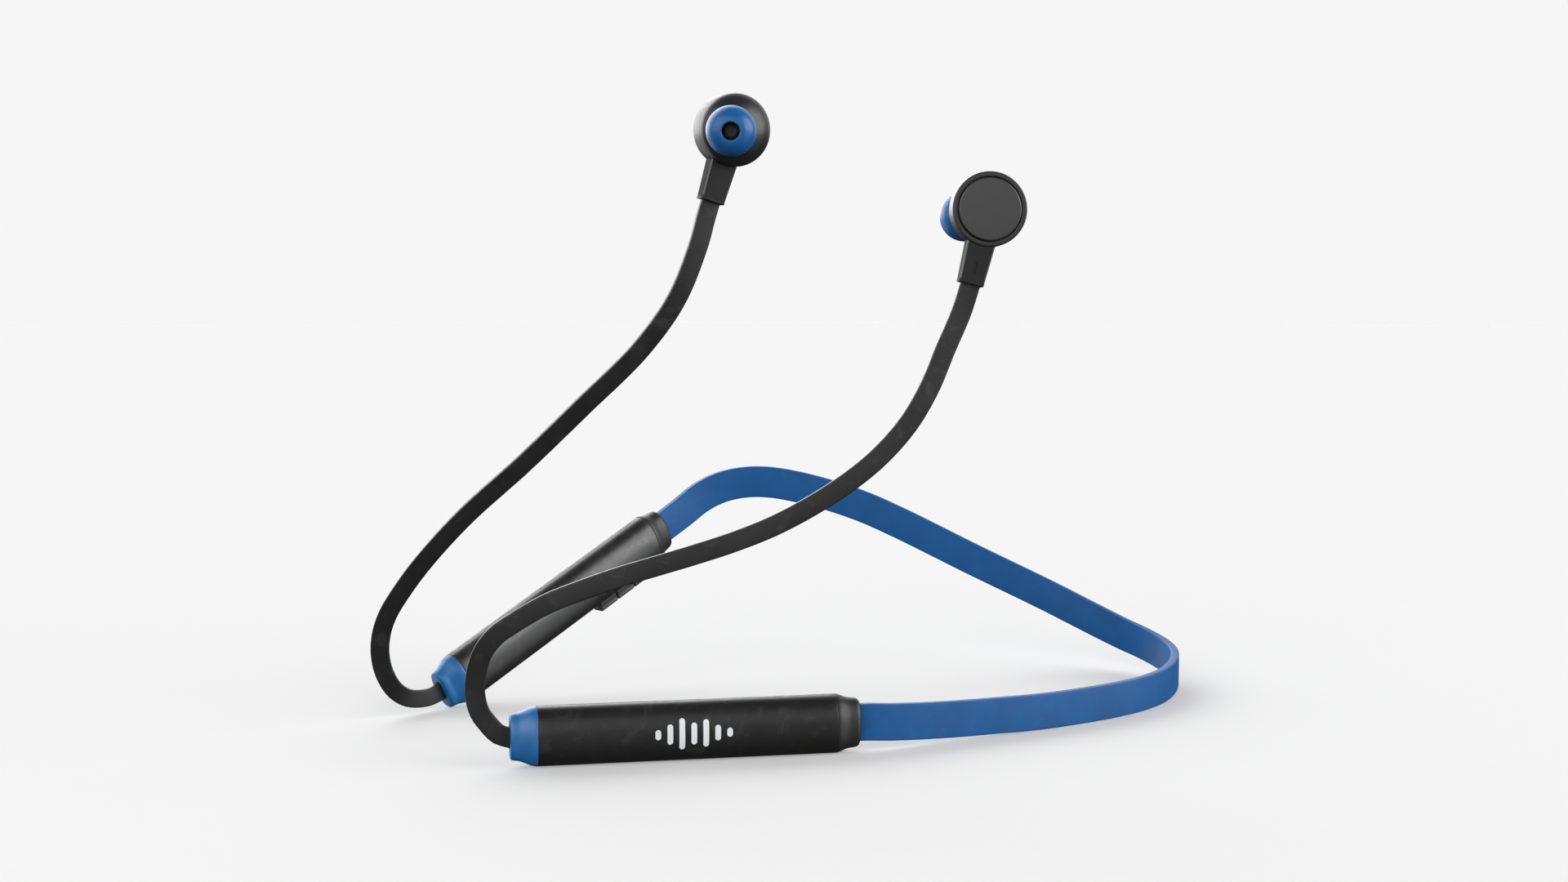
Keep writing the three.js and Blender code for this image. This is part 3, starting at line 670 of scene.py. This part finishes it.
BUTTON_FROM, BUTTON_LONG, BUTTON_PITCH, BUTTON_WIDE = 49.2, 5.7, 6, 4
BUTTON_FOOT, BUTTON_HEAD = -8.4, -4.3
BUTTONS = ("volume_down", "play", "volume_up")
COVER_FROM, COVER_TO, COVER_LOW, COVER_HIGH, COVER_INNER = 16, 27, -1.7, 3.2, 3.1
LIGHT_AT, HOLE_AT, HOLES_Z = 33, 38, 0.7


def bar_along(name, section, low, high, place, edge=0.3):
    """A bar along the pod through (y, z) section points, with rounded ends."""
    middle = sum(section, Vector((0, 0))) / len(section)
    stations = []
    for k in range(6):
        angle = k * 18 * DEG
        stations.append((edge * (1 - math.sin(angle)), edge * (1 - math.cos(angle))))
    ends = [(low + x, inset) for x, inset in reversed(stations)]
    ends += [(high - x, inset) for x, inset in stations]
    rings = []
    for x, inset in sorted(ends):
        ring = []
        for point in section:
            away = point - middle
            pull = [1 - inset / max(abs(c), inset * 1.001, 1e-6) if abs(c) > inset else 0 for c in away]
            ring.append((x, middle.x + away.x * pull[0], middle.y + away.y * pull[1]))
        rings.append(ring)
    return solid(name, *skin(rings), place)


def button_section():
    """A cap's section: straight inside, a little hollow at its sides, rounded outside."""
    half = BUTTON_WIDE / 2
    corners = [
        (half, BUTTON_HEAD, 0.2), (half, -6.4, 0.3), (half - 0.12, -7.2, 0.6), (half - 0.02, -8.0, 0.25),
        (half - 0.45, BUTTON_FOOT, 0.35), (-half + 0.45, BUTTON_FOOT, 0.35), (-half + 0.02, -8.0, 0.25),
        (-half + 0.12, -7.2, 0.6), (-half, -6.4, 0.3), (-half, BUTTON_HEAD, 0.2),
    ]
    return filleted(corners, True, 4)


def box_points(low, high):
    """The corners and faces of a cutter."""
    points = [(x, y, z) for x in (low[0], high[0]) for y in (low[1], high[1]) for z in (low[2], high[2])]
    return points, [(0, 1, 3, 2), (4, 6, 7, 5), (0, 4, 5, 1), (2, 3, 7, 6), (0, 2, 6, 4), (1, 5, 7, 3)]


def cover_rings(margin, inner, outer_lift, notch=False):
    """Rings of a patch of the casing's rear with rounded corners, grown by margin."""
    low, high, corner = COVER_FROM - margin, COVER_TO + margin, 1.2 + margin
    z_low, z_high = COVER_LOW - margin, COVER_HIGH + margin
    stations = [corner * (1 - math.cos(k * 15 * DEG)) for k in range(7)]
    stations = [low + s for s in stations] + even(low + corner, high - corner, 10)[1:-1]
    stations += [high - corner * (1 - math.cos(k * 15 * DEG)) for k in range(6, -1, -1)]
    rings = []
    for x in stations:
        near_end = max(corner - (x - low), corner - (high - x), 0)
        pull = corner - math.sqrt(max(corner ** 2 - near_end ** 2, 0))
        heights = even(z_low + pull, z_high - pull, 14)
        drop = 0.35 * max(0, min(1, (x - high + 1.1) / 0.3)) if notch else 0
        ring = [(x, oval_depth(z) + outer_lift - drop, z) for z in heights]
        rings.append(ring + [(x, inner, heights[-1]), (x, inner, heights[0])])
    return rings


def make_right_pod():
    front = casing_half("right_front_shell", -1, RIGHT_POD)
    rear = casing_half("right_rear_shell", 1, RIGHT_POD)
    last = BUTTON_FROM + BUTTON_PITCH * (len(BUTTONS) - 1) + BUTTON_LONG
    slot = box_points(
        (BUTTON_FROM - 0.15, -BUTTON_WIDE / 2 - 0.12, -POD_TALL),
        (last + 0.15, BUTTON_WIDE / 2 + 0.12, BUTTON_HEAD + 0.3),
    )
    for piece in (front, rear):
        combine(piece, solid("button_slot", *slot, RIGHT_POD))
    combine(rear, solid("cover_recess", *skin(cover_rings(0.09, 0.5, 2)), RIGHT_POD))
    for x, radius in ((LIGHT_AT, 0.66), (HOLE_AT, 0.5)):
        hole = turned([(0, 1), (radius, 1), (radius, 7), (0, 7)], 40)
        combine(rear, solid("round_hole", *hole, RIGHT_POD @ Matrix.Translation((x, 0, HOLES_Z))))
    # the right pod's shells take the painted-light copy of the casing
    dress(front, LIT_CASING, "casing", "right_arm", "right_casing_front")
    dress(rear, LIT_CASING, "casing", "right_arm", "right_casing_rear")
    make_boots("right", RIGHT_POD)
    cover = solid("socket_flap", *skin(cover_rings(0, COVER_INNER, -0.04, notch=True)), RIGHT_POD)
    plug = filleted([(18.8, 0.2, 0.5), (24.2, 0.2, 0.5), (24.2, 1.3, 0.5), (18.8, 1.3, 0.5)], True, 4)
    rings = [[(x, y, z) for x, z in plug] for y in (2.25, 3.3)]
    combine(cover, solid("flap_plug", *skin(rings), RIGHT_POD), "UNION")
    dress(cover, BLACK_RUBBER, "black_rubber", "charging_flap", "port_cover")
    lens = filleted([(0, 2.2, 0), (0.6, 2.2, 0.05), (0.6, 4.3, 0.15), (0.3, 4.44, 0.2), (0, 4.46, 0)])
    place = RIGHT_POD @ Matrix.Translation((LIGHT_AT, 0, HOLES_Z))
    lens = solid("status_light_lens", *turned(lens, 40), place)
    dress(lens, CLEAR, "clear_plastic", "right_arm", "status_light_pipe")
    for k, name in enumerate(BUTTONS):
        low = BUTTON_FROM + k * BUTTON_PITCH
        cap = bar_along(f"{name}_key", button_section(), low, low + BUTTON_LONG, RIGHT_POD)
        dress(cap, BLACK_RUBBER, "black_rubber", f"{name}_cap", f"{name}_button")


make_right_pod()


# ---- buds ----------------------------------------------------------------------------
def nozzle_place(bud, side):
    """The nozzle's frame: Y along the nozzle."""
    root = Matrix.Translation((side * NOZZLE_SHIFT, NOZZLE_ROOT, 0))
    tilt = Matrix.Rotation(-side * NOZZLE_TILT, 4, "Z")
    return bud @ Matrix.Rotation(side * NOZZLE_TURN, 4, "Y") @ (root @ tilt)


def ball_line(points, fine=8):
    """A smooth profile through (radius, y) points."""
    return [(max(p.x, 0), p.y) for p in Route([(x, y, 0) for x, y in points], fine).line]


def bud_housing():
    inside, lip = BUD_RADIUS - 1.05, 5.4
    return filleted([
        (inside, -3.0, 0), (inside, -3.5, 0.12), (BUD_RADIUS, -3.5, 0.42), (BUD_RADIUS, 0.84, 0.08),
        (7.0, 0.84, 0.05), (7.0, -1.5, 0), (lip, -1.5, 0.1), (lip, -2.2, 0.1), (inside, -2.2, 0),
        (inside, -3.0, 0),
    ])


def bud_cap():
    return filleted([
        (0, -3.82, 0), (6.45, -3.8, 0.25), (6.69, -3.55, 0.2), (6.69, -2.5, 0.1), (0, -2.5, 0),
    ])


def nozzle_shell(name, bud, side):
    dome = [(7.0, 0.9), *filleted([(7.0, 0.9, 0), (BUD_RADIUS, 0.9, 0.08), (BUD_RADIUS, 1.6, 0)])[1:-1]]
    dome += ball_line([
        (BUD_RADIUS, 1.5), (7.72, 2.6), (7.05, 3.7), (5.9, 4.8), (4.3, 5.75), (2.3, 6.3), (0, 6.45),
    ])
    dome += ball_line([(0, 5.2), (3.6, 4.8), (5.4, 3.8), (6.5, 2.6), (7.0, 1.6)])
    shell = solid(name, *turned(dome + [(7.0, 0.9)]), bud)
    place = nozzle_place(bud, side)
    spout = filleted([
        (0, 2.0, 0), (3.3, 2.4, 0.1), (2.2, 4.6, 0.5), (2.1, 7.6, 0.1), (2.35, 7.8, 0.1),
        (2.35, 8.4, 0.15), (2.1, 8.7, 0.1), (0, 8.7, 0),
    ])
    combine(shell, solid("spout", *turned(spout, 64), place), "UNION")
    bore = [(0, 1.5), (1.6, 1.5), (1.6, 9.5), (0, 9.5)]
    return combine(shell, solid("bore", *turned(bore, 48), place))


TIP_OUTSIDE = [
    (4.62, 0.12), (5.12, 0.75), (5.4, 1.9), (5.38, 3.1), (5.02, 4.35), (4.3, 5.45), (3.2, 6.25),
    (2.45, 6.52),
]
TIP_INSIDE = [(3.3, 4.6), (3.9, 4.35), (4.45, 3.7), (4.85, 2.7), (4.9, 1.7), (4.5, 0.35)]


def ear_tip():
    """A silicone mushroom: a rounded mouth, a thin dome folded back, and a sleeve inside."""
    mouth = filleted([(2.45, 6.52, 0), (1.92, 6.55, 0.32), (1.92, 4.8, 0)], steps=7)[1:-1]
    profile = ball_line(TIP_OUTSIDE) + [tuple(p) for p in mouth]
    profile += [(1.92, 4.9), (2.65, 4.6), (2.65, 0.5), (2.85, 0.3), (3.1, 0.5), (3.2, 4.4)]
    profile += ball_line(TIP_INSIDE) + [TIP_OUTSIDE[0]]
    return [(radius, y + 4.6) for radius, y in profile]


STEM_REACH, STEM_Y = 16.2, -1.1
STEM_TOP, STEM_FOOT = (6.1, 4.2), (5.4, 3.7)
STEM_ROUND = 0.55
GROOVE_SPAN, GROOVE_WIDE, GROOVE_DEEP = (-14.2, -11.4), 0.56, 0.34
FLAT = 0.97  # a face whose normal has a larger part than this along an axis is one of the flat ones
HIGHLIGHT_FROM = -STEM_REACH + 0.9  # the foot's rim is below this height and gets no painted edge highlight


def stem_ring(share, inset=0.0):
    """A ring of the stem, from its foot at share 0 to the housing's curve at share 1."""
    wide, thick = (foot + (top - foot) * share - 2 * inset for foot, top in zip(STEM_FOOT, STEM_TOP))
    ring = []
    for px, py in rounded_section(wide, thick, STEM_ROUND, 9):
        seat = -math.sqrt((BUD_RADIUS + 0.05) ** 2 - px ** 2)
        ring.append((px, py + STEM_Y, -STEM_REACH + (seat + STEM_REACH) * share))
    return ring


def groove(name, x, low, high, place):
    """A cutter for a touch mark: a short rounded groove across the stem's back."""
    half, corner = GROOVE_WIDE / 2, 0.27
    corners = [(low, -half, corner), (high, -half, corner), (high, half, corner), (low, half, corner)]
    section = filleted(corners, True, 6)
    back = STEM_Y - STEM_TOP[1] / 2
    rings = [[(x + b, y, a) for a, b in section] for y in (back - 1, back + GROOVE_DEEP)]
    return solid(name, *skin(rings), place)


def make_stem(name, bud, side):
    slot = rounded_section(CABLE_WIDE + 0.2, CABLE_THICK + 0.2, 0.45, 7)
    rings = [stem_ring(share) for share in (0.062, *even(0.1, 1, 16))]
    flange = ((0, 0.06), (0.006, -0.02), (0.02, -0.06), (0.045, -0.05), (0.054, 0.0))
    outside = [*(stem_ring(share, inset) for share, inset in flange), *rings]
    shaft = solid(f"{name}_stem", *skin(outside), bud)
    hollow = [[(x, y + STEM_Y, z) for x, y in slot] for z in (-STEM_REACH - 1, -STEM_REACH + 6)]
    combine(shaft, solid("cable_hole", *skin(hollow), bud))
    lines = [-0.75, 0.75] if name == "right" else [0]
    for x in lines:
        combine(shaft, groove("groove", x, *GROOVE_SPAN, bud))
    dress(shaft, STEM_BLACK, "bud_plastic", f"{name}_lead", f"{name}_bud_stem")
    # the stem's flat side faces get the painted-shade copy
    recoat(shaft, SHADED_STEM_SIDE, bud, lambda at, normal: abs(normal.x) > FLAT)
    # the rounded edges above the foot get the painted highlight
    edges = lambda at, normal: max(map(abs, normal)) < FLAT and at.z > HIGHLIGHT_FROM
    recoat(shaft, EDGE_HIGHLIGHT_PAINT, bud, edges)


def make_bud(name, bud, side):
    lead = f"{name}_lead"
    make_stem(name, bud, side)
    housing = solid(f"{name}_housing", *turned([tuple(p) for p in bud_housing()], 144), bud)
    dress(housing, BUD_PLASTIC, "bud_plastic", lead, f"{name}_bud_housing")
    cap = solid(f"{name}_back_disc", *turned([tuple(p) for p in bud_cap()], 144), bud)
    dress(cap, BUD_DISC, "bud_plastic", lead, f"{name}_bud_cap")
    shell = nozzle_shell(f"{name}_front_shell_of_bud", bud, side)
    dress(shell, BUD_PLASTIC, "bud_plastic", lead, f"{name}_bud_nozzle_shell")
    place = nozzle_place(bud, side)
    # the spout's end and bore get the painted shade
    recoat(shell, SPOUT_SHADE, place, lambda at, normal: math.hypot(at.x, at.z) < 2.5 and at.y > 6)
    gauze = filleted([(0, 7.6, 0), (1.5, 7.6, 0.05), (1.5, 7.9, 0.1), (1.2, 8.0, 0.2), (0, 8.12, 0)])
    gauze = solid(f"{name}_gauze", *turned([tuple(p) for p in gauze], 48), place)
    dress(gauze, GRILLE, "grille", lead, f"{name}_bud_mesh")
    tip = solid(f"{name}_silicone_tip", *turned(ear_tip(), 128), place)
    dress(tip, TIP_SILICONE, "tip_silicone", f"{name}_tip", f"{name}_ear_tip", crease=50)


make_bud("left", LEFT_BUD, -1)
make_bud("right", RIGHT_BUD, 1)


# ---- what stays as the CAD made it ---------------------------------------------------
KEPT = {
    "battery_cell": CELL_FOIL, "battery_board": BOARD, "main_board": BOARD, "charging_socket": STEEL,
    "microphone": STEEL,
}
KEPT.update({f"{name}_switch": STEEL for name in BUTTONS})
for hand in ("left", "right"):
    KEPT.update({f"{hand}_bud_magnet": STEEL, f"{hand}_bud_driver": STEEL})
for node, material in KEPT.items():
    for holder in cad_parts[node].material_slots:
        holder.link = "OBJECT"
        holder.material = material


# ---- light and floor -----------------------------------------------------------------
PALE = 0.9216  # linear grey of the backdrop
# direction towards the light, cosine where it fades out, cosine where it is full, strength
LOBES = [
    ((-0.58, 0.76, 0.3), 0.6, 0.97, 3.5),
    ((0.25, 0.9, 0.3), 0.6, 0.98, 1.0),
    ((-0.68, -0.68, 0.22), 0.74, 0.92, 2.2),
    ((0.94, -0.2, 0.24), 0.81, 0.93, 3.8),
    ((0.12, -0.96, 0.22), 0.82, 0.96, 0.76),
]
FLOOR_BOUNCES = [
    ((-0.05, -0.95, -0.2), 0.78, 0.97, 0.18),
    ((-0.78, 0.58, -0.18), 0.84, 0.96, 0.9),
    ((0.93, -0.24, -0.2), 0.86, 0.97, 0.7),
]
LOW_LIGHT = 0.045
HORIZON = (-0.12, 0.05)  # heights of the direction between which the light comes in


def make_world():
    """Soft boxes round a dim room, far away, so that the light is even over the floor."""
    world = bpy.data.worlds.new("studio")
    bpy.context.scene.world = world
    world.use_nodes = True
    n = Nodes(world.node_tree)
    direction = n.add("ShaderNodeTexCoord").outputs["Generated"]

    def lobe(towards, outer, inner, strength):
        dot = n.add("ShaderNodeVectorMath", operation="DOT_PRODUCT")
        n.feed(dot.inputs[0], direction)
        n.feed(dot.inputs[1], Vector(towards).normalized())
        return n.remap(dot.outputs["Value"], outer, inner, 0, strength)

    total = 0.0
    for values in LOBES:
        total = n.math("ADD", lobe(*values), total)
    height = n.add("ShaderNodeSeparateXYZ", {0: direction}).outputs["Z"]
    total = n.math("MULTIPLY", total, n.remap(height, *HORIZON, 0, 1))
    for values in FLOOR_BOUNCES:
        total = n.math("ADD", lobe(*values), total)
    total = n.math("ADD", total, LOW_LIGHT)
    background = n.add("ShaderNodeBackground", {"Color": (1, 1, 1, 1), "Strength": total})
    n.add("ShaderNodeOutputWorld", {"Surface": background.outputs[0]})


def only_seen(thing):
    """The camera sees it, and it neither lights nor shadows anything."""
    thing.visible_diffuse = False
    thing.visible_glossy = False
    thing.visible_transmission = False
    thing.visible_shadow = False


FLOOR_REACH = 3000
FLOOR_TONE = 0.62
FLOOR_GLOW = 0.234  # brings the lit floor up to the backdrop's tone
BACKDROP_RADIUS = 2900


def make_floor():
    corners = [(x * FLOOR_REACH, y * FLOOR_REACH, 0) for x, y in ((-1, -1), (1, -1), (1, 1), (-1, 1))]
    floor = solid("floor", corners, [(0, 1, 2, 3)])
    material = bpy.data.materials.new("pale_floor")
    material.use_nodes = True
    n = Nodes(material.node_tree)
    matt = n.add("ShaderNodeBsdfDiffuse", {"Color": (FLOOR_TONE, FLOOR_TONE, FLOOR_TONE, 1)})
    glow = n.add("ShaderNodeEmission", {"Color": (1, 1, 1, 1), "Strength": FLOOR_GLOW})
    both = n.add("ShaderNodeAddShader", {0: matt.outputs[0], 1: glow.outputs[0]})
    n.add("ShaderNodeOutputMaterial", {"Surface": both.outputs[0]})
    floor.data.materials.append(material)
    only_seen(floor)


def make_backdrop():
    rings = []
    for row in range(9):
        r, z = (BACKDROP_RADIUS * part(row * 10 * DEG) for part in (math.cos, math.sin))
        turns = (column * 7.5 * DEG for column in range(48))
        rings.append([(r * math.cos(turn), r * math.sin(turn), z - 5) for turn in turns])
    backdrop = solid("backdrop", *skin(rings))
    material = bpy.data.materials.new("pale_backdrop")
    material.use_nodes = True
    n = Nodes(material.node_tree)
    glow = n.add("ShaderNodeEmission", {"Color": (1, 1, 1, 1), "Strength": PALE})
    n.add("ShaderNodeOutputMaterial", {"Surface": glow.outputs[0]})
    backdrop.data.materials.append(material)
    only_seen(backdrop)


make_world()
make_floor()
make_backdrop()
bpy.context.scene.view_settings.view_transform = "Standard"

bpy.context.view_layer.update()
